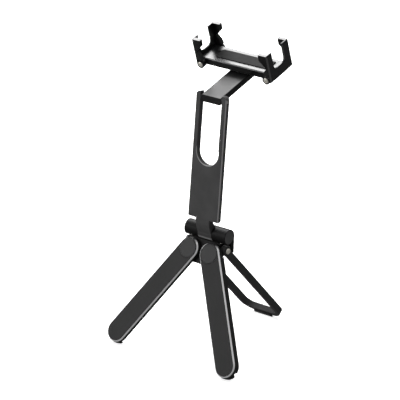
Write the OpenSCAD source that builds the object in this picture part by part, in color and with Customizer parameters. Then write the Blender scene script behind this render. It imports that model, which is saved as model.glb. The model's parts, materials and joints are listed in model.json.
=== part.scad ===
// Folding tripod stand with a sprung phone clamp, millimetres, +Z up.
// Origin: centre of the footprint on the surface it stands on.
// X runs along the barrel hinge, -Y is the front, where the two flat legs are.

/* [Barrel hinge and base] */
// diameter of the hinge barrel
barrel_d = 14.4; // [10:0.1:22]
// length of the hinge barrel, end to end
barrel_len = 46.4; // [38:0.1:80]
// width of the upright's knuckle between the two barrel halves
knuckle_w = 15.4; // [10:0.1:26]
// diameter of the barrel axle
axle_d = 5; // [3:0.1:8]
// thickness of the plate that carries the legs
base_plate_t = 5.5; // [3:0.1:10]
// distance of the base plate's lower edge from the barrel axis
base_plate_drop = 30.2; // [24:0.1:60]
// thickness of the rear stop wall at its lower edge
stop_wall_t = 3.3; // [2:0.1:6]

/* [Front legs] */
// lean of the leg plane from vertical, degrees
leg_lean = 26.8; // [10:0.1:40]
// half of the angle between the two open legs, degrees
leg_splay = 29.3; // [15:0.1:40]
// distance between the two leg pivots
pivot_gap = 24.1; // [20:0.1:50]
// distance of the leg pivots from the barrel axis, in the leg plane
pivot_drop = 19.4; // [17:0.1:40]
// leg length from the pivot to the centre of its round foot
leg_len = 104; // [70:1:180]
// leg width
leg_w = 21.1; // [12:0.1:32]
// leg plate thickness
leg_t = 4.9; // [3:0.1:9]
// depth of the leg's outer flange
flange_depth = 7.7; // [5:0.1:14]
// thickness of the leg's outer flange
flange_t = 2.4; // [1:0.1:4]
// distance of the leg plane's front from the barrel axis
leg_front = 7.65; // [6:0.05:14]
// chamfer round the front of a leg
leg_chamfer = 1.1; // [0.3:0.1:2]
// diameter of the pivot cap
cap_d = 17.6; // [8:0.1:24]

/* [Rear leg] */
// angle of the rear leg below the horizontal, degrees
rear_angle = 46.8; // [30:0.1:65]
// height of the rear leg's rails
rail_h = 6.2; // [4:0.1:10]
// width of the rear leg's rails
rail_w = 5; // [3:0.1:8]
// outer radius of the rear leg's corners
rail_corner_r = 13; // [6:0.5:20]
// rear leg hinge, distance in front of the barrel axis
rear_hinge_y = 2.25; // [0:0.05:6]
// rear leg hinge, distance below the barrel axis
rear_hinge_z = 12.5; // [12:0.05:30]

/* [Upright] */
// lean of the upright from vertical, degrees
upright_lean = 6.1; // [0:0.1:15]
// upright width
upright_w = 34.6; // [28:0.1:60]
// upright thickness
upright_t = 5.2; // [4:0.1:10]
// distance of the upright's front from the barrel axis
upright_front = 11.1; // [10:0.1:16]
// lower edge of the upright above the barrel axis
upright_bottom = 13.9; // [11:0.1:24]
// upper tip of the upright above the barrel axis
upright_top = 129.6; // [100:0.5:220]
// radius of the prongs' outer corners
prong_r = 4.5; // [1:0.1:7]
// chamfer on the upright's long edges
upright_chamfer = 0.8; // [0.2:0.1:1.5]

/* [Arm] */
// tilt of the arm above the horizontal, degrees
arm_tilt = 17; // [0:0.5:60]
// arm width
arm_w = 22.1; // [14:0.1:40]
// arm thickness
arm_t = 5.8; // [4:0.1:10]
// distance from the arm's pin to the clamp's swivel
arm_reach = 49.1; // [36:0.1:90]
// distance of the arm's pin below the upright's tips
pin_drop = 4.5; // [3.5:0.1:10]
// diameter of the arm's pin
pin_d = 3; // [2:0.1:4]

/* [Clamp] */
// width over the two jaws when closed
clamp_w = 85.8; // [76:0.2:130]
// depth of the clamp's body
body_d = 22.7; // [18:0.1:40]
// thickness of the clamp's body
body_t = 7.3; // [6:0.1:12]
// height of the clamp's seat above the middle of the arm
seat_h = 11.7; // [10.8:0.1:20]
// depth of a jaw
jaw_d = 33.1; // [28:0.1:60]
// height of a jaw
jaw_h = 27.6; // [22:0.1:50]
// thickness of a jaw's plate
jaw_plate = 2; // [1.6:0.1:4]
// depth of a hook, at the front and the back of a jaw
hook_d = 3.6; // [2.5:0.1:5]
// chamfer round a jaw's outer face
jaw_chamfer = 1.4; // [0.4:0.1:1.6]
// how far a hook reaches in from the jaw's outer face
hook_reach = 10; // [7:0.1:14]
// height of a hook's tip
hook_h = 6.2; // [3:0.1:9]
// width of the notch between a jaw's two prongs
notch_w = 15.4; // [6:0.1:20]
// how far the notch sits in front of the jaw's middle
notch_shift = 0.8; // [0:0.1:3]
// length of the sliding end block, from the seam to the jaw
slider_len = 7.4; // [6:0.1:12]
// travel of the sliding jaw
slide_travel = 28; // [10:1:36]
// diameter of the guide rods
rod_d = 4; // [2.5:0.1:5]
// distance between the two guide rods
rod_gap = 12; // [9:0.1:14]
// diameter of the swivel bolt
bolt_d = 4; // [3:0.1:6]

/* [Rubber] */
// height of the seat pad above the seat
pad_rise = 0.8; // [0.2:0.1:2]
// depth of the seat pad
pad_d = 12.6; // [8:0.1:20]
// how far a foot's rubber reaches past the metal
foot_reach = 0.9; // [0.4:0.1:3]
// depth of the flat worn on a foot's rubber
foot_flat = 0.5; // [0.2:0.1:1]

/* [Screws] */
// head diameter of the small button screws
head_d = 5.4; // [4:0.1:6]
// shank diameter of the small button screws
shank_d = 3; // [2:0.1:3.5]
// depth of the jaw screws' threads in the clamp's body
jaw_thread = 3; // [2:0.1:4]

/* [Clearances] */
// gap between sliding faces
slide_gap = 0.15; // [0.05:0.01:0.4]
// gap round a turning shaft, on the radius
run_gap = 0.05; // [0.02:0.01:0.1]
// gap between parts that swing past each other
swing_gap = 0.4; // [0.2:0.05:1]

/* [Hidden] */
$fn = 64;
barrel_r = barrel_d / 2;
eps = 0.01;
big = 400;
leg_r = leg_w / 2;
cap_t = 1;
rail_ear_r = rear_hinge_z - barrel_r - swing_gap;
base_w = barrel_len - 2 * rail_w - 2 * swing_gap - 0.6;
foot_t = flange_depth - leg_t + 0.1;
foot_y = -leg_front + leg_t;
foot_r = leg_r - 0.1 + foot_reach;
// height of the barrel axis above the ground
axis_z = (pivot_drop + leg_len * cos(leg_splay) + foot_r) * cos(leg_lean)
       + (foot_y + foot_t) * sin(leg_lean) - foot_flat;
rail_end_pad = 1.6;
rail_pad_past = 0.6;
rear_len = (axis_z - rear_hinge_z - (rail_h / 2 + rail_end_pad) * cos(rear_angle)
         + foot_flat) / sin(rear_angle) - rail_pad_past;
// front and rear reach from the barrel axis, which set the axis's place over the footprint
front_reach = (pivot_drop + leg_len * cos(leg_splay) + leg_r - leg_chamfer) * sin(leg_lean)
            + leg_front * cos(leg_lean);
rear_reach = (rear_len + rail_pad_past) * cos(rear_angle) + rail_h / 2 * sin(rear_angle) - rear_hinge_y;
axis_y = (front_reach - rear_reach) / 2;
pin_z = upright_top - pin_drop;
mid_y = -upright_front + upright_t / 2;
arm_r = arm_w / 2;
slot_side = 1.2;
slot_w = arm_w + 2 * slot_side;
slot_r = slot_w / 2;
slot_z = pin_z - arm_reach - arm_r - slot_side + slot_r;
rear_wall_z = -16.6;
prong_w = (upright_w - slot_w) / 2;
jaw_x = clamp_w / 2;
jaw_bottom = -6.1;
lug_x = 6.6;
fixed_lug_x = 4.8;
lug_z = 1.3;
lug_r = 3.8;
lug_t = (jaw_d - body_d) / 2 - slide_gap;
plate_in = jaw_plate;
seam_x = jaw_x - plate_in - slider_len;
swivel_gap = seat_h - body_t - arm_t / 2;
notch_z = 9.9;
notch_r = 4;
hook_back = hook_reach - jaw_plate;
pad_foot = 8.4;
pad_z0 = lug_z + lug_r + 0.6;
pad_z1 = jaw_h - hook_h - hook_back;
rod_len = seam_x + jaw_x - plate_in - 16;
pivot_d = 4;
pivot_head_d = 10;
grub_d = 3;
grub_x = base_w / 2 - 0.3;
grub_len = 3;
bolt_head_d = 8;
pad_x0 = -jaw_x + 14.4;
pad_x1 = seam_x - 1.2;
pad_sink = 0.8;
cover_len = 44;
cover_sx = cover_len / 2 - 3;
cover_sy = 0;
flange_start = 4.5;

/* ---- frames ---- */
module at_axis() { translate([0, axis_y, axis_z]) children(); }
module in_legs() { at_axis() rotate([-leg_lean, 0, 0]) children(); }
module at_pivot(s) { in_legs() translate([s * pivot_gap / 2, 0, -pivot_drop]) children(); }
module in_leg(s) { at_pivot(s) rotate([0, -s * leg_splay, 0]) children(); }
module in_rear() {
  at_axis() translate([0, -rear_hinge_y, -rear_hinge_z]) rotate([90 - rear_angle, 0, 0]) children();
}
module in_upright() { at_axis() rotate([-upright_lean, 0, 0]) children(); }
module in_arm() {
  in_upright() translate([0, mid_y, pin_z]) rotate([upright_lean + arm_tilt, 0, 0]) children();
}
module in_clamp() { in_arm() translate([0, arm_reach, seat_h]) children(); }
module in_jaw(s) {
  in_clamp() translate([s * jaw_x, 0, jaw_bottom]) mirror([s > 0 ? 1 : 0, 0, 0]) children();
}

/* ---- shapes ---- */
module rod_x(d, l) { rotate([0, 90, 0]) cylinder(d = d, h = l, center = true); }
module rod_y(d, l) { rotate([90, 0, 0]) cylinder(d = d, h = l, center = true); }
// an outline drawn in Y and Z, extruded w wide about x = 0
module side(w) { rotate([90, 0, 90]) linear_extrude(w, center = true) children(); }
// an outline drawn in X and Z, extruded from y0 to y0 + t
module front(y0, t) { translate([0, y0 + t, 0]) rotate([90, 0, 0]) linear_extrude(t) children(); }
// button head with a hex socket, resting on z = 0
module button_head(d, h) {
  difference() {
    rotate_extrude() polygon([[0, 0], [d / 2, 0], [d / 2, 0.45 * h], [0.34 * d, h], [0, h]]);
    translate([0, 0, 0.4 * h]) cylinder(d = 0.42 * d, h = h, $fn = 6);
  }
}
module button_screw(d, sd, h, l) {
  button_head(d, h);
  translate([0, 0, -l]) cylinder(d = sd, h = l + eps);
}
// edge cutter along Z at x = a, y = b, taking c off a square corner
module edge_cut(a, b, c) {
  translate([a, b, 0]) rotate([0, 0, 45]) cube([c * sqrt(2), c * sqrt(2), big], center = true);
}

/* ---- base ---- */
module base_block_outline() {
  polygon([[barrel_r, 0], [barrel_r - 0.9, rear_wall_z], [-7.3, -21.2], [-3, -5], [-2, 0]]);
}
module base() color([0.11, 0.11, 0.115]) at_axis() difference() {
  union() {
    rod_x(barrel_d, barrel_len);
    // rear wall that stops the rear leg
    side(barrel_len) polygon([[barrel_r, 0], [barrel_r - 0.9, rear_wall_z],
      [barrel_r - 0.9 - stop_wall_t, rear_wall_z + stop_wall_t * tan(rear_angle)], [2.2, -5], [2.2, 0]]);
    side(base_w) base_block_outline();
    // plate behind the legs
    rotate([-leg_lean, 0, 0]) {
      translate([-base_w / 2, -leg_front + leg_t + slide_gap, -base_plate_drop + 3])
        cube([base_w, base_plate_t, base_plate_drop - 11]);
      front(-leg_front + leg_t + slide_gap, base_plate_t)
        for (x = [-1, 1]) translate([x * (base_w / 2 - 3), -base_plate_drop + 3]) circle(r = 3);
      translate([-base_w / 2 + 3, -leg_front + leg_t + slide_gap, -base_plate_drop])
        cube([base_w - 6, base_plate_t, 6]);
    }
  }
  // room for the knuckle and its neck
  difference() {
    translate([-knuckle_w / 2 - slide_gap, -20, -barrel_r - swing_gap])
      cube([knuckle_w + 2 * slide_gap, 40, 40]);
    side(knuckle_w + 1) polygon([[barrel_r + 1, -3], [barrel_r + 1, -20], [-9, -20], [-9, -6.1], [-3, -6.1]]);
  }
  rod_x(barrel_d + 2 * swing_gap, knuckle_w + 2 * slide_gap);
  // axle
  rod_x(axle_d, barrel_len + 2);
  for (s = [-1, 1]) translate([s * (barrel_len / 2 - cap_t), 0, 0]) rotate([0, s * 90, 0])
    cylinder(r = barrel_r - 0.7, h = cap_t + 1);
  for (s = [-1, 1]) translate([s * grub_x, 0, 0]) grub_axis() translate([0, 0, axle_d / 2 - 0.5])
    cylinder(d = grub_d, h = 20);
  // sweep of the rear leg's ears
  for (s = [-1, 1]) translate([s * (base_w / 2 + 10), -rear_hinge_y, -rear_hinge_z])
    rod_x(2 * rail_ear_r + 2 * swing_gap, 20);
  // threads for the rear leg's hinge screws
  translate([0, -rear_hinge_y, -rear_hinge_z]) for (s = [-1, 1])
    translate([s * (base_w / 2 - 4), 0, 0]) rod_x(shank_d, 8.2);
  // threads for the leg pivots
  rotate([-leg_lean, 0, 0]) for (s = [-1, 1]) translate([s * pivot_gap / 2, 0, -pivot_drop])
    translate([0, -leg_front + leg_t + 2.5, 0]) rod_y(pivot_d, 5.4);
}
module grub_axis() { rotate([180 - 33, 0, 0]) children(); }
module barrel_axle() color([0.6, 0.6, 0.6]) at_axis() rod_x(axle_d, barrel_len - 2 * cap_t);
module end_cap(s) {
  at_axis() translate([s * (barrel_len / 2 - cap_t), 0, 0]) rotate([0, s * 90, 0]) rotate_extrude()
    polygon([[0, 0], [barrel_r - 0.7, 0], [barrel_r - 0.7, cap_t - 0.3], [barrel_r - 1, cap_t], [0, cap_t]]);
}
module left_end_cap() color([0.22, 0.22, 0.22]) end_cap(-1);
module right_end_cap() color([0.22, 0.22, 0.22]) end_cap(1);
module axle_grub_screws() color([0.62, 0.61, 0.58]) at_axis() for (s = [-1, 1])
  translate([s * grub_x, 0, 0]) grub_axis() translate([0, 0, barrel_r + 0.1 - grub_len]) difference() {
    cylinder(d = grub_d, h = grub_len);
    translate([0, 0, grub_len - 1.2]) cylinder(d = 1.5, h = 2, $fn = 6);
  }
module pivot_screw(s) {
  at_pivot(s) {
    translate([0, -leg_front + cap_t + 0.2 + 1.3 / 2, 0]) rod_y(pivot_head_d, 1.3);
    translate([0, -leg_front + cap_t + 0.2 + 1.3, 0]) rotate([-90, 0, 0])
      cylinder(d = pivot_d, h = leg_t + 5 - cap_t - 1.5);
  }
}
module left_pivot_screw() color([0.5, 0.5, 0.5]) pivot_screw(-1);
module right_pivot_screw() color([0.5, 0.5, 0.5]) pivot_screw(1);
module rear_hinge_screws() color([0.8, 0.79, 0.73]) at_axis() translate([0, -rear_hinge_y, -rear_hinge_z])
  for (s = [-1, 1]) translate([s * barrel_len / 2, 0, 0]) rotate([0, s * 90, 0])
    button_screw(head_d, shank_d, 1.5, barrel_len / 2 - base_w / 2 + 6);

/* ---- front legs ---- */
// stadium plate with a chamfered front edge, pivot at the origin, foot end down
module leg_plate() {
  r = leg_r;
  c = leg_chamfer;
  t = leg_t;
  translate([0, -leg_front, -leg_len]) linear_extrude(leg_len)
    polygon([[-r, t], [-r, c], [c - r, 0], [r - c, 0], [r, c], [r, t]]);
  for (z = [0, -leg_len]) translate([0, -leg_front, z]) rotate([-90, 0, 0]) rotate_extrude()
    polygon([[0, 0], [r - c, 0], [r, c], [r, t], [0, t]]);
}
module leg(s) {
  in_leg(s) difference() {
    union() {
      leg_plate();
      // outer flange down the back of the outer edge
      translate([s > 0 ? leg_r - flange_t : -leg_r, -leg_front + leg_t - eps, -leg_len])
        cube([flange_t, flange_depth - leg_t + eps, leg_len - flange_start]);
      difference() {
        translate([0, -leg_front + leg_t - eps, -leg_len]) rotate([-90, 0, 0])
          cylinder(r = leg_r, h = flange_depth - leg_t + eps);
        translate([0, -leg_front + leg_t - 1, -leg_len]) rotate([-90, 0, 0])
          cylinder(r = leg_r - flange_t, h = 20);
        translate([-50, -50, -leg_len]) cube([100, 100, 50]);
        translate([s > 0 ? -50 : 4, -50, -leg_len - 50]) cube([46, 100, 100]);
        translate([-50, -50, -leg_len - 50]) cube([100, 100, 50 - leg_r + 3.2]);
      }
    }
    translate([0, -leg_front + leg_t / 2, 0]) rod_y(pivot_d + 2 * run_gap, leg_t + 2);
    translate([0, -leg_front + cap_t + 0.2 + 1.3, 0]) rotate([90, 0, 0])
      cylinder(d = pivot_head_d + 0.6, h = 20);
    translate([0, -leg_front + cap_t, 0]) rotate([90, 0, 0]) cylinder(d = cap_d, h = 20);
  }
}
module leg_cap(s) {
  in_leg(s) translate([0, -leg_front + cap_t, 0]) rotate([90, 0, 0]) rotate_extrude()
    polygon([[0, 0], [cap_d / 2, 0], [cap_d / 2, cap_t], [cap_d / 2 - 0.3, cap_t + 0.3], [0, cap_t + 0.3]]);
}
module foot_pad(s) {
  difference() {
    in_leg(s) translate([0, foot_y, -leg_len]) rotate([-90, 0, 0]) difference() {
      union() {
        cylinder(r = foot_r - flange_t - 0.2, h = foot_t);
        intersection() {
          cylinder(r = foot_r, h = foot_t);
          translate([s > 0 ? -30 : -4.2, 5.5, 0]) cube([34.2, 30, 30]);
        }
      }
      translate([-50, -50 - 3, -1]) cube([100, 50, 30]);
      // the flange's end
      difference() {
        translate([0, 0, -1]) cylinder(r = leg_r + 0.05, h = 30);
        translate([0, 0, -2]) cylinder(r = leg_r - flange_t - 0.05, h = 32);
        translate([s > 0 ? -50 : 4 - 0.05, -50, -3]) cube([46.05, 100, 40]);
        translate([-50, leg_r - 3.2 + 0.05, -3]) cube([100, 50, 40]);
      }
    }
    translate([0, 0, -50]) cube([big, big, 100], center = true);
  }
}
module left_leg() color([0.21, 0.21, 0.215]) leg(-1);
module right_leg() color([0.21, 0.21, 0.215]) leg(1);
module left_leg_cap() color([0.26, 0.26, 0.265]) leg_cap(-1);
module right_leg_cap() color([0.26, 0.26, 0.265]) leg_cap(1);
module left_foot_pad() color([0.08, 0.08, 0.08]) foot_pad(-1);
module right_foot_pad() color([0.08, 0.08, 0.08]) foot_pad(1);

/* ---- rear leg ---- */
module rear_outline(w, l, r) {
  translate([-w / 2, -l + r]) square([w, l - r]);
  translate([-w / 2 + r, -l]) square([w - 2 * r, r + eps]);
  for (x = [-1, 1]) translate([x * (w / 2 - r), -l + r]) circle(r = r);
}
module rear_leg() color([0.19, 0.19, 0.195]) in_rear() difference() {
  union() {
    front(-rail_h / 2, rail_h) rear_outline(barrel_len - 0.4, rear_len, rail_corner_r);
    rod_x(2 * rail_ear_r, barrel_len - 0.4);
  }
  front(-20, 40) union() {
    translate([0, -rear_len + rail_w + 8]) rear_inner();
  }
  for (s = [-1, 1]) translate([s * barrel_len / 2, 0, 0]) rod_x(shank_d + 2 * run_gap, 20);
}
module rear_inner() {
  w = barrel_len - 0.4 - 2 * rail_w;
  r = max(rail_corner_r - rail_w, 1.5);
  translate([-w / 2, -8 + r]) square([w, big]);
  translate([-w / 2 + r, -8]) square([w - 2 * r, 20]);
  for (x = [-1, 1]) translate([x * (w / 2 - r), -8 + r]) circle(r = r);
}
module rear_foot_pad() color([0.08, 0.08, 0.08]) difference() {
  in_rear() {
    translate([-barrel_len / 2 + rail_corner_r, -rail_h / 2 - rail_end_pad, -rear_len - rail_pad_past])
      cube([barrel_len - 2 * rail_corner_r, rail_end_pad, 3.6]);
  }
  translate([0, 0, -50]) cube([big, big, 100], center = true);
}

/* ---- upright ---- */
module upright_outline() {
  difference() {
    union() {
      translate([-upright_w / 2, upright_bottom]) square([upright_w, upright_top - upright_bottom - prong_r]);
      translate([-upright_w / 2 + prong_r, upright_bottom])
        square([upright_w - 2 * prong_r, upright_top - upright_bottom]);
      for (x = [-1, 1]) translate([x * (upright_w / 2 - prong_r), upright_top - prong_r]) circle(r = prong_r);
    }
    translate([-slot_r, slot_z]) square([slot_w, big]);
    translate([0, slot_z]) circle(r = slot_r);
  }
}
module upright() color([0.25, 0.25, 0.255]) in_upright() difference() {
  union() {
    front(-upright_front, upright_t) upright_outline();
    // neck from the plate down to the knuckle
    side(knuckle_w) polygon([[-upright_front, upright_bottom + 3], [-upright_front, 9.3],
      [-barrel_r, 0.3], [-0.5, 0.3], [-0.5, 7], [-1.3, 7.1], [-3.4, 8.6], [-4.9, 10.8],
      [-upright_front + upright_t, upright_bottom], [-upright_front + upright_t, upright_bottom + 3]]);
    rod_x(barrel_d, knuckle_w);
  }
  rod_x(axle_d + 2 * run_gap, knuckle_w + 2);
  // chamfers: long edges, the lower back edge and the slot
  for (x = [-1, 1]) edge_cut(x * upright_w / 2, -upright_front, upright_chamfer);
  for (x = [-1, 1]) edge_cut(x * upright_w / 2, -upright_front + upright_t, upright_chamfer);
  for (x = [-1, 1]) translate([x * (knuckle_w / 2 + 15), -upright_front + upright_t, upright_bottom])
    rotate([45, 0, 0]) cube([30, 3.6, 3.6], center = true);
  translate([0, -upright_front - eps, slot_z]) rotate([-90, 0, 0])
    cylinder(r1 = slot_r + 0.6, r2 = slot_r, h = 0.6);
  translate([0, mid_y, pin_z]) rod_x(pin_d, upright_w + 2);
}
module arm_pin() color([0.66, 0.65, 0.62]) in_upright() translate([0, mid_y, pin_z])
  rod_x(pin_d, upright_w - 0.6);
module pin_washer(s) {
  in_upright() translate([s * (arm_r + slot_side / 2), mid_y, pin_z]) difference() {
    rod_x(5, slot_side - 0.1);
    rod_x(pin_d + 2 * run_gap, 10);
  }
}
module left_pin_washer() color([0.1, 0.1, 0.1]) pin_washer(-1);
module right_pin_washer() color([0.1, 0.1, 0.1]) pin_washer(1);

/* ---- arm ---- */
module arm() color([0.2, 0.2, 0.205]) in_arm() difference() {
  c = 0.7;
  union() {
    translate([0, arm_reach, 0]) rotate([90, 0, 0]) linear_extrude(arm_reach + 8)
      polygon([[-arm_r, -arm_t / 2 + c], [-arm_r + c, -arm_t / 2],
        [arm_r - c, -arm_t / 2], [arm_r, -arm_t / 2 + c],
        [arm_r, arm_t / 2 - c], [arm_r - c, arm_t / 2], [-arm_r + c, arm_t / 2], [-arm_r, arm_t / 2 - c]]);
    translate([0, arm_reach, 0]) rotate_extrude()
      polygon([[0, -arm_t / 2], [arm_r - c, -arm_t / 2], [arm_r, -arm_t / 2 + c],
        [arm_r, arm_t / 2 - c], [arm_r - c, arm_t / 2], [0, arm_t / 2]]);
  }
  // front end, flush with the upright's front
  rotate([-upright_lean - arm_tilt, 0, 0]) translate([-50, -upright_t / 2 - 20, -50]) cube([100, 20, 100]);
  rod_x(pin_d + 2 * run_gap, arm_w + 2);
  translate([0, arm_reach, 0]) cylinder(d = bolt_d + 2 * run_gap, h = 30, center = true);
  translate([0, arm_reach, -arm_t / 2 - 10]) cylinder(d = bolt_head_d + 0.6, h = 10 + 1.6);
}
module swivel_bolt() color([0.62, 0.61, 0.58]) in_arm() translate([0, arm_reach, 0]) {
  difference() {
    translate([0, 0, -arm_t / 2 - 0.2]) cylinder(d = bolt_head_d, h = 1.7);
    translate([0, 0, -arm_t / 2 - 1]) cylinder(d = 3, h = 1.9, $fn = 6);
  }
  translate([0, 0, -arm_t / 2 + 1.4]) cylinder(d = bolt_d, h = seat_h - body_t + 4.6 + arm_t / 2 - 1.4);
}
module swivel_washer() color([0.1, 0.1, 0.1]) in_arm() translate([0, arm_reach, arm_t / 2 + 0.05])
  difference() {
  cylinder(d = 16, h = swivel_gap - 0.05);
  translate([0, 0, -1]) cylinder(d = bolt_d, h = 10);
}

/* ---- clamp ---- */
// body section in X and Z, from x0 to x1, top at 0
module body_block(x0, x1) {
  c = 0.8;
  translate([x0, 0, 0]) rotate([90, 0, 90]) linear_extrude(x1 - x0)
    polygon([[-body_d / 2, -body_t + c], [-body_d / 2 + c, -body_t], [body_d / 2 - c, -body_t],
      [body_d / 2, -body_t + c], [body_d / 2, -c], [body_d / 2 - c, 0],
      [-body_d / 2 + c, 0], [-body_d / 2, -c]]);
}
module pad_outline(g) {
  r = 4;
  x0 = pad_x0 - g;
  x1 = pad_x1 + g;
  y = pad_d / 2 + g;
  translate([x0 + r, -y]) square([x1 - x0 - r - 1, 2 * y]);
  translate([x0, -y + r]) square([x1 - x0, 2 * y - 2 * r]);
  translate([x1 - 2, -y]) square([2, 2 * y]);
  for (s = [-1, 1]) translate([x0 + r, s * (y - r)]) circle(r = r);
}
module clamp_body() color([0.2, 0.2, 0.205]) in_clamp() difference() {
  body_block(-jaw_x + plate_in + slide_gap, seam_x);
  translate([0, 0, -pad_sink]) linear_extrude(10) pad_outline(0.1);
  for (s = [-1, 1]) translate([seam_x - rod_len / 2 - 1, s * rod_gap / 2, -body_t / 2])
    rod_x(rod_d + 2 * run_gap, rod_len + 4);
  // spring room between the rods, closed by the cover
  translate([bolt_d / 2 + 3, -rod_gap / 2 + rod_d / 2 + 0.6, -body_t + 1.2])
    cube([cover_len / 2 - bolt_d / 2 - 6.5, rod_gap - rod_d - 1.2, 3.4]);
  translate([-cover_len / 2, -body_d / 2 + 2.4, -body_t - 1]) cube([cover_len, body_d - 4.8, 2.2]);
  cylinder(d = bolt_d, h = 2 * (body_t - 4.6), center = true);
  translate([0, 0, -body_t]) cylinder(d = bolt_d, h = 4.6);
  for (x = [-1, 1]) for (y = [-1, 1]) translate([x * cover_sx, y * cover_sy, -body_t])
    cylinder(d = 1.6, h = 3.4);
  // left jaw's threads
  for (s = [-1, 1]) translate([-jaw_x + fixed_lug_x, s * body_d / 2, jaw_bottom + lug_z])
    rod_y(shank_d, 2 * jaw_thread);
}
module clamp_cover() color([0.13, 0.13, 0.135]) in_clamp() difference() {
  translate([-cover_len / 2 + 0.1, -body_d / 2 + 2.5, -body_t]) cube([cover_len - 0.2, body_d - 5, 1.2]);
  translate([0, 0, -body_t - 1]) cylinder(d = bolt_d, h = 4);
  for (x = [-1, 1]) translate([x * cover_sx, cover_sy, -body_t - 1]) cylinder(d = 1.6, h = 4);
}
module cover_screws() color([0.5, 0.5, 0.5]) in_clamp() for (x = [-1, 1])
  translate([x * cover_sx, cover_sy, -body_t]) {
    cylinder(d = 1.6, h = 3.2);
    translate([0, 0, -0.5]) cylinder(d = 3, h = 0.5);
  }
module seat_pad() color([0.25, 0.25, 0.25]) in_clamp() translate([0, 0, -pad_sink])
  linear_extrude(pad_sink + pad_rise) pad_outline(0);

// one jaw, drawn as the left one: outer face at x = 0, inside towards +X, screws at x = lx
module jaw_profile(reach) {
  c = jaw_chamfer * 0.75;
  w = jaw_plate;
  polygon([[0, c], [c, 0], [w, 0], [w, jaw_h - hook_h - reach + w], [reach, jaw_h - hook_h],
    [reach, jaw_h], [c, jaw_h], [0, jaw_h - c]]);
}
module jaw_solid(lx) {
  w = jaw_plate;
  y1 = notch_w / 2 - notch_r;
  c = jaw_chamfer * 0.6;
  difference() {
    union() {
      translate([0, jaw_d / 2, 0]) rotate([90, 0, 0]) linear_extrude(jaw_d) intersection() {
        jaw_profile(hook_reach);
        square([w, jaw_h]);
      }
      for (s = [-1, 1]) translate([0, s * (jaw_d / 2 - hook_d / 2) + hook_d / 2, 0])
        rotate([90, 0, 0]) linear_extrude(hook_d) jaw_profile(hook_reach);
      translate([lx, 0, lug_z]) rod_y(2 * lug_r, jaw_d);
      translate([w - 0.5, -jaw_d / 2, 0]) cube([lx - w + 0.5, jaw_d, lug_z + lug_r]);
    }
    // chamfers on the upright outer edges
    for (s = [-1, 1]) edge_cut(0, s * jaw_d / 2, jaw_chamfer);
    // notch between the prongs, its outer edge chamfered
    translate([0, -notch_shift, 0]) {
      translate([-20, -y1, notch_z]) cube([60, 2 * y1, 60]);
      translate([-20, -notch_w / 2, notch_z + notch_r]) cube([60, notch_w, 60]);
      for (s = [-1, 1]) translate([0, s * y1, notch_z + notch_r]) {
        rod_x(2 * notch_r, 80);
        translate([-0.2, 0, 0]) rotate([0, 90, 0])
          cylinder(r1 = notch_r + c + 0.2, r2 = notch_r, h = c + 0.2);
      }
      translate([0, y1, 0]) rotate([90, 0, 0]) linear_extrude(2 * y1)
        polygon([[-1, notch_z + 1], [-1, notch_z - c - 1], [c, notch_z], [c, notch_z + 1]]);
      for (s = [-1, 1]) translate([0, 0, notch_z + notch_r]) linear_extrude(60)
        polygon([[-1, s * (notch_w / 2 - 1)], [-1, s * (notch_w / 2 + c + 1)], [c, s * notch_w / 2],
          [c, s * (notch_w / 2 - 1)]]);
    }
    // room for the body between the lugs
    translate([plate_in, -body_d / 2 - slide_gap, -20])
      cube([30, body_d + 2 * slide_gap, 20 - jaw_bottom + slide_gap]);
    for (s = [-1, 1]) translate([lx, s * jaw_d / 2, lug_z]) {
      rod_y(head_d + 0.4, 2 * 1.1);
      rod_y(shank_d + 0.2, 20);
    }
  }
}
module jaw_screws(lx) {
  for (s = [-1, 1]) translate([lx, s * (jaw_d / 2 - 1.1), lug_z]) rotate([s * -90, 0, 0])
    button_screw(head_d, shank_d, 1.5, (jaw_d - body_d) / 2 - 1.1 + jaw_thread);
}
// rubber wedges under the hooks
module jaw_pads() {
  for (s = [-1, 1]) translate([0, s * (jaw_d / 2 - hook_d / 2) + hook_d / 2, 0]) rotate([90, 0, 0])
    linear_extrude(hook_d) polygon([[jaw_plate, pad_z0], [pad_foot, pad_z0], [pad_foot - 1.6, pad_z0 + 4.8],
      [jaw_plate + 1.2, pad_z1 + 1.2], [jaw_plate, pad_z1]]);
}
module left_jaw() color([0.17, 0.17, 0.175]) in_jaw(-1) jaw_solid(fixed_lug_x);
module right_jaw() color([0.17, 0.17, 0.175]) in_jaw(1) jaw_solid(lug_x);
module left_jaw_screws() color([0.8, 0.79, 0.73]) in_jaw(-1) jaw_screws(fixed_lug_x);
module right_jaw_screws() color([0.8, 0.79, 0.73]) in_jaw(1) jaw_screws(lug_x);
module left_jaw_pads() color([0.2, 0.2, 0.2]) in_jaw(-1) jaw_pads();
module right_jaw_pads() color([0.2, 0.2, 0.2]) in_jaw(1) jaw_pads();
module slide_block() color([0.2, 0.2, 0.205]) in_clamp() difference() {
  body_block(seam_x + slide_gap, jaw_x - plate_in - slide_gap);
  for (s = [-1, 1]) translate([seam_x, s * rod_gap / 2, -body_t / 2]) rod_x(rod_d, 2 * slider_len - 2);
  for (s = [-1, 1]) translate([jaw_x - lug_x, s * body_d / 2, jaw_bottom + lug_z])
    rod_y(shank_d, 2 * jaw_thread);
}
module guide_rods() color([0.7, 0.7, 0.7]) in_clamp() for (s = [-1, 1])
  translate([seam_x + slider_len - 1 - rod_len / 2, s * rod_gap / 2, -body_t / 2]) rod_x(rod_d, rod_len);

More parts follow.
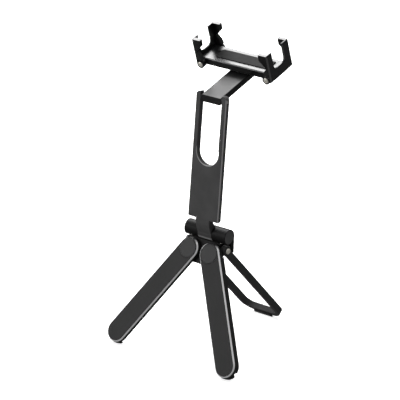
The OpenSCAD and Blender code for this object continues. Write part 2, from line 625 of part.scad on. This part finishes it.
base();
barrel_axle();
left_end_cap();
right_end_cap();
axle_grub_screws();
left_pivot_screw();
right_pivot_screw();
rear_hinge_screws();
left_leg();
left_leg_cap();
left_foot_pad();
right_leg();
right_leg_cap();
right_foot_pad();
rear_leg();
rear_foot_pad();
upright();
arm_pin();
left_pin_washer();
right_pin_washer();
arm();
swivel_bolt();
swivel_washer();
clamp_body();
clamp_cover();
cover_screws();
seat_pad();
left_jaw();
left_jaw_screws();
left_jaw_pads();
slide_block();
guide_rods();
right_jaw();
right_jaw_screws();
right_jaw_pads();
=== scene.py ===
"""Looks of a folding phone stand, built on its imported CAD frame."""
import json
import math

import bpy
from mathutils import Matrix, Vector

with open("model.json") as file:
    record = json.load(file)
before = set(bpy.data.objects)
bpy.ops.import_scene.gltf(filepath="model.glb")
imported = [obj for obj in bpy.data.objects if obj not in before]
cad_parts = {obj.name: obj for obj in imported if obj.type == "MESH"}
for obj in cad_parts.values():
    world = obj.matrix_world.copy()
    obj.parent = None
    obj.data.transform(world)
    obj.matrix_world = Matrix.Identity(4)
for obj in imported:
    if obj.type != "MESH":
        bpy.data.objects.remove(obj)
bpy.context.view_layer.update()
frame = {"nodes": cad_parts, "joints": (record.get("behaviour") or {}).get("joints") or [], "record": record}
nodes = frame["nodes"]
joints = {j["name"]: j for j in frame["joints"]}
slots = {s["node"]: s["material_slot"] for s in frame["record"]["subparts"]}

barrel = Vector(joints["upright_tilt"]["pos_m"])
leg_normal = Vector(joints["left_leg_splay"]["axis"])
seat_normal = Vector(joints["clamp_swivel"]["axis"])

# how far the upright leans back from the vertical, and the rear leg, in degrees
UPRIGHT_LEAN = 6.1
REAR_LEAN = 46.8


# ---------------------------------------------------------------- node helpers
class Mat:
    """A material's node tree, with short calls to add and link nodes."""

    def __init__(self, name):
        self.mat = bpy.data.materials.new(name)
        self.mat.use_nodes = True
        self.tree = self.mat.node_tree
        self.tree.nodes.clear()
        out = self.tree.nodes.new("ShaderNodeOutputMaterial")
        self.bsdf = self.tree.nodes.new("ShaderNodeBsdfPrincipled")
        self.link(self.bsdf, "BSDF", out, "Surface")
        self.coord = self.tree.nodes.new("ShaderNodeTexCoord")

    def set(self, **inputs):
        """Set the shader's own inputs. An underscore stands for a space."""
        for key, value in inputs.items():
            self.bsdf.inputs[key.replace("_", " ")].default_value = value

    def colour(self, output):
        self.tree.links.new(output, self.bsdf.inputs["Base Color"])

    def link(self, a, out, b, into):
        self.tree.links.new(a.outputs[out], b.inputs[into])

    def node(self, kind, **sets):
        n = self.tree.nodes.new(kind)
        for key, value in sets.items():
            if hasattr(n, key):
                setattr(n, key, value)
            else:
                n.inputs[key.replace("_", " ")].default_value = value
        return n

    def noise(self, scale, detail=3.0, rough=0.55, stretch=None):
        n = self.node("ShaderNodeTexNoise", Scale=scale, Detail=detail, Roughness=rough)
        if stretch:
            m = self.node("ShaderNodeMapping")
            m.inputs["Scale"].default_value = stretch
            self.link(self.coord, "Object", m, "Vector")
            self.link(m, "Vector", n, "Vector")
        else:
            self.link(self.coord, "Object", n, "Vector")
        return n

    def remap(self, src, out, lo, hi, to_lo, to_hi):
        r = self.node("ShaderNodeMapRange", From_Min=lo, From_Max=hi, To_Min=to_lo, To_Max=to_hi)
        self.link(src, out, r, "Value")
        return r

    def mix(self, a, b, src, out):
        """Colour between a and b, driven by a 0 to 1 output."""
        m = self.node("ShaderNodeMix", data_type="RGBA")
        for socket, value in ((m.inputs[6], a), (m.inputs[7], b)):
            if isinstance(value, tuple):
                socket.default_value = (*value, 1.0)
            else:
                self.tree.links.new(value, socket)
        self.tree.links.new(src.outputs[out], m.inputs[0])
        return m.outputs[2]

    def times(self, a, b):
        m = self.node("ShaderNodeMath", operation="MULTIPLY")
        self.link(a, 0, m, 0)
        self.link(b, 0, m, 1)
        return m

    def bump(self, src, out, strength, distance, chain=None):
        b = self.node("ShaderNodeBump", Strength=strength, Distance=distance)
        self.link(src, out, b, "Height")
        if chain:
            self.link(chain, "Normal", b, "Normal")
        return b

    def facing(self, direction, low, high):
        """0 to 1 as the surface's normal, in the node's frame, turns towards a direction."""
        d = self.node("ShaderNodeVectorMath", operation="DOT_PRODUCT")
        d.inputs[1].default_value = direction
        self.link(self.coord, "Normal", d, 0)
        return self.remap(d, "Value", low, high, 0.0, 1.0)


def scaled(colour, factor, plus=0.0):
    return tuple(c * factor + plus for c in colour)


# ---------------------------------------------------------------- materials
def anodised(name, base, rough, spec, chamfer_highlight=None, axis=None, metal=0.0, painted_shade_on_top=False):
    """Bead-blasted, dyed aluminium. The chamfer colour is a painted highlight: a lighter colour laid on
    the chamfers, which are the faces that stand at about 45 degrees to the direction `axis`."""
    m = Mat(name)
    m.set(Specular_IOR_Level=spec)
    cloud = m.noise(38.0, 4.0)
    fine = m.noise(5200.0, 2.0, 0.6)
    grain = m.noise(1500.0, 3.0, 0.6)
    colour = m.mix(scaled(base, 0.88), scaled(base, 1.16, 0.002),
                   m.remap(cloud, "Fac", 0.35, 0.65, 0.0, 1.0), "Result")
    speck = m.remap(grain, "Fac", 0.62, 0.75, 0.0, 0.25)
    colour = m.mix(colour, scaled(base, 1.5, 0.004), speck, "Result")
    tone = m.remap(cloud, "Fac", 0.3, 0.7, rough - 0.035, rough + 0.035)
    bump = m.bump(fine, "Fac", 0.10, 0.00004)
    bump = m.bump(grain, "Fac", 0.06, 0.00008, bump)
    m.link(bump, "Normal", m.bsdf, "Normal")
    # painted highlight: chamfers, picked by the direction their surface faces, get a lighter colour
    if chamfer_highlight:
        highlight_mask = m.times(m.facing(axis, 0.50, 0.62), m.facing(axis, 0.90, 0.80))
        # painted shade: the painted highlight is taken off the chamfers that face up
        if painted_shade_on_top:
            highlight_mask = m.times(highlight_mask, m.facing((0.0, 0.0, 1.0), 0.90, 0.70))
        cut = m.noise(900.0, 2.0, 0.5, stretch=(1.0, 1.0, 0.04))
        # the painted highlight's colour, varied a little along the chamfer
        edge = m.mix(scaled(chamfer_highlight, 0.85), chamfer_highlight, cut, "Fac")
        colour = m.mix(colour, edge, highlight_mask, 0)
        # the painted highlight is also made partly metallic
        if metal:
            m.link(m.remap(highlight_mask, 0, 0.0, 1.0, 0.0, metal), "Result", m.bsdf, "Metallic")
    m.colour(colour)
    m.link(tone, "Result", m.bsdf, "Roughness")
    return m.mat


def steel(name, base, rough, metal=1.0):
    """Plated or plain steel, with fine marks from machining."""
    m = Mat(name)
    m.set(Metallic=metal)
    marks = m.noise(2600.0, 3.0, 0.6, stretch=(1.0, 1.0, 0.1))
    cloud = m.noise(300.0, 3.0)
    m.colour(m.mix(scaled(base, 0.82), base, cloud, "Fac"))
    m.link(m.remap(marks, "Fac", 0.3, 0.7, rough - 0.06, rough + 0.08), "Result", m.bsdf, "Roughness")
    m.link(m.bump(marks, "Fac", 0.12, 0.00003), "Normal", m.bsdf, "Normal")
    return m.mat


def moulded(name, base, rough, spec=0.3, grain=1400.0):
    """Matt moulded rubber or polymer with a fine spark-eroded grain."""
    depth = 0.00008
    m = Mat(name)
    m.set(Specular_IOR_Level=spec)
    pits = m.node("ShaderNodeTexVoronoi", Scale=grain)
    m.link(m.coord, "Object", pits, "Vector")
    fine = m.noise(grain * 2.2, 2.0)
    cloud = m.noise(60.0, 3.0)
    m.colour(m.mix(scaled(base, 0.8), scaled(base, 1.2), cloud, "Fac"))
    m.link(m.remap(fine, "Fac", 0.3, 0.7, rough - 0.06, rough + 0.06), "Result", m.bsdf, "Roughness")
    bump = m.bump(pits, "Distance", 0.35, depth)
    bump = m.bump(fine, "Fac", 0.15, depth * 0.5, bump)
    m.link(bump, "Normal", m.bsdf, "Normal")
    return m.mat


def level_tilted_up(side, degrees):
    """The direction that points along Y, to the given side, and is tilted up by an angle."""
    return (0.0, side * math.cos(math.radians(degrees)), math.sin(math.radians(degrees)))


# directions around which the chamfer highlights are painted
leg_front = tuple(-leg_normal)
clamp_front = (0.0, -seat_normal.z, seat_normal.y)
upright_front = level_tilted_up(-1, UPRIGHT_LEAN)
rear_back = level_tilted_up(1, REAR_LEAN)
# the chamfer colours passed below are painted highlights on the legs, rear leg, upright and clamp
looks = {
    "body_black": anodised("anodised_body", (0.008, 0.008, 0.0082), 0.50, 0.09),
    "leg_black": anodised("anodised_leg", (0.012, 0.012, 0.0122), 0.42, 0.13,
                          chamfer_highlight=(0.86, 0.86, 0.87), axis=leg_front, metal=0.2, painted_shade_on_top=True),
    "rear_black": anodised("anodised_rear_leg", (0.045, 0.045, 0.0455), 0.45, 0.06,
                           chamfer_highlight=(0.30, 0.30, 0.305), axis=rear_back),
    "cap_black": anodised("anodised_cap", (0.024, 0.024, 0.0243), 0.40, 0.15),
    "end_black": anodised("anodised_end_cap", (0.095, 0.095, 0.096), 0.42, 0.15),
    "upright_black": anodised("anodised_upright", (0.064, 0.064, 0.0645), 0.42, 0.13,
                              chamfer_highlight=(0.40, 0.40, 0.404), axis=upright_front),
    "arm_black": anodised("anodised_arm", (0.008, 0.008, 0.0082), 0.34, 0.12),
    "clamp_black": anodised("anodised_clamp", (0.006, 0.006, 0.0062), 0.28, 0.28,
                            chamfer_highlight=(0.10, 0.10, 0.101), axis=clamp_front),
    "steel": steel("steel_plain", (0.62, 0.61, 0.58), 0.28),
    "screw_nickel": steel("screw_nickel", (0.90, 0.87, 0.79), 0.30, metal=0.25),
    "rubber_black": moulded("rubber_black", (0.014, 0.014, 0.014), 0.62),
    "rubber_seat": moulded("rubber_seat", (0.017, 0.017, 0.017), 0.62, spec=0.05),
    "polymer_black": moulded("polymer_black", (0.010, 0.010, 0.010), 0.50, grain=900.0),
}
# nodes that differ from the look of their material slot
own_look = {"rear_leg": "rear_black", "seat_pad": "rubber_seat",
            "left_end_cap": "end_black", "right_end_cap": "end_black"}

# ---------------------------------------------------------------- softened edges
# metres; a look that is not here takes EDGE
EDGE = 0.0003
edge_width = {"upright_black": 0.0004, "rear_black": 0.0006,
              "steel": 0.00012, "screw_nickel": 0.00015, "polymer_black": 0.00012,
              "rubber_black": 0.00035, "rubber_seat": 0.00035}
MERGE = 0.000002
FLAT_ANGLE = math.radians(0.4)
EDGE_ANGLE = math.radians(32)
for name, ob in nodes.items():
    look = own_look.get(name, slots[name])
    ob.data.materials.clear()
    ob.data.materials.append(looks[look])
    for polygon in ob.data.polygons:
        polygon.use_smooth = True
    weld = ob.modifiers.new("weld", "WELD")
    weld.merge_threshold = MERGE
    flat = ob.modifiers.new("flat", "DECIMATE")
    flat.decimate_type = "DISSOLVE"
    flat.angle_limit = FLAT_ANGLE
    bevel = ob.modifiers.new("edge", "BEVEL")
    bevel.width = edge_width.get(look, EDGE)
    bevel.segments = 2
    bevel.limit_method = "ANGLE"
    bevel.angle_limit = EDGE_ANGLE
    bevel.use_clamp_overlap = True
    smooth = ob.modifiers.new("normals", "WEIGHTED_NORMAL")
    smooth.keep_sharp = True

# ---------------------------------------------------------------- stage
WHITE = (1.0, 1.0, 1.0, 1.0)
FLOOR_SIZE = 12.0
DOME_RADIUS = 5.5
bpy.ops.mesh.primitive_plane_add(size=FLOOR_SIZE, location=(0, 0, 0))
floor = bpy.context.object
floor.name = "floor"
paper = Mat("floor_paper")
paper.colour(paper.mix((0.86, 0.86, 0.86), (0.88, 0.88, 0.88), paper.noise(3.0, 2.0), "Fac"))
paper.set(Roughness=0.9, Specular_IOR_Level=0.1, Emission_Color=WHITE, Emission_Strength=0.72)
floor.data.materials.append(paper.mat)
# the paper is white to the eye only, so that faces turned down stay dark
floor.visible_glossy = False
floor.visible_diffuse = False

# a white dome that only the camera sees, so that no horizon shows at a low angle
bpy.ops.mesh.primitive_uv_sphere_add(segments=48, ring_count=24, radius=DOME_RADIUS, location=(0, 0, 0))
dome = bpy.context.object
dome.name = "dome"
backdrop = Mat("dome_paper")
backdrop.set(Base_Color=(0.0, 0.0, 0.0, 1.0), Specular_IOR_Level=0.0,
             Emission_Color=WHITE, Emission_Strength=1.0)
dome.data.materials.append(backdrop.mat)
dome.visible_diffuse = False
dome.visible_glossy = False
dome.visible_shadow = False

world = bpy.data.worlds.new("studio")
bpy.context.scene.world = world
world.use_nodes = True
sky = world.node_tree.nodes["Background"]
sky.inputs["Color"].default_value = WHITE
sky.inputs["Strength"].default_value = 0.22


def softbox(name, aim, direction, distance, size, radiance):
    """A square area light seen from `aim` along `direction`, of a given radiance."""
    light = bpy.data.lights.new(name, "AREA")
    light.shape = "SQUARE"
    light.size = size
    light.energy = radiance * math.pi * size * size
    ob = bpy.data.objects.new(name, light)
    bpy.context.collection.objects.link(ob)
    ob.location = aim + Vector(direction).normalized() * distance
    ob.rotation_euler = (aim - ob.location).to_track_quat("-Z", "Y").to_euler()


clamp_top = Vector((0, 0.03, 0.25))
leg_middle = Vector((0.03, -0.04, 0.07))
stand_middle = Vector((0, 0, 0.15))
behind = Vector((0, 0.3, 0))
softbox("back_left", clamp_top, (-0.59, 0.40, 0.70), 1.3, 0.7, radiance=16)
softbox("overhead", behind, (0, 0, 1), 2.2, 1.6, radiance=2.6)
softbox("leg_glint", leg_middle, (0.475, -0.37, 0.795), 1.4, 0.35, radiance=3)
softbox("front_left", stand_middle, (-0.60, -0.75, 0.30), 1.6, 0.9, radiance=5)

# ---------------------------------------------------------------- camera
AZIMUTH = math.radians(39.14)
ELEVATION = math.radians(20.87)
DISTANCE = 2.4269
OFFSET_RIGHT = -0.00829
OFFSET_UP = 0.02845
FOCAL_PX = 2696.5
IMAGE_PX = 400
SENSOR = 36.0
right = Vector((math.cos(AZIMUTH), math.sin(AZIMUTH), 0))
back = Vector((math.sin(AZIMUTH) * math.cos(ELEVATION),
               -math.cos(AZIMUTH) * math.cos(ELEVATION),
               math.sin(ELEVATION)))
up = back.cross(right)
cam = bpy.data.cameras.new("camera")
cam.sensor_width = SENSOR
cam.lens = SENSOR * FOCAL_PX / IMAGE_PX
cam.clip_end = 50.0
camera = bpy.data.objects.new("camera", cam)
bpy.context.collection.objects.link(camera)
place = barrel + back * DISTANCE + right * OFFSET_RIGHT + up * OFFSET_UP
camera.matrix_world = Matrix.Translation(place) @ Matrix((right, up, back)).transposed().to_4x4()
bpy.context.scene.camera = camera

scene = bpy.context.scene
scene.view_settings.view_transform = "Standard"
scene.view_settings.look = "None"
scene.view_settings.exposure = 0.0
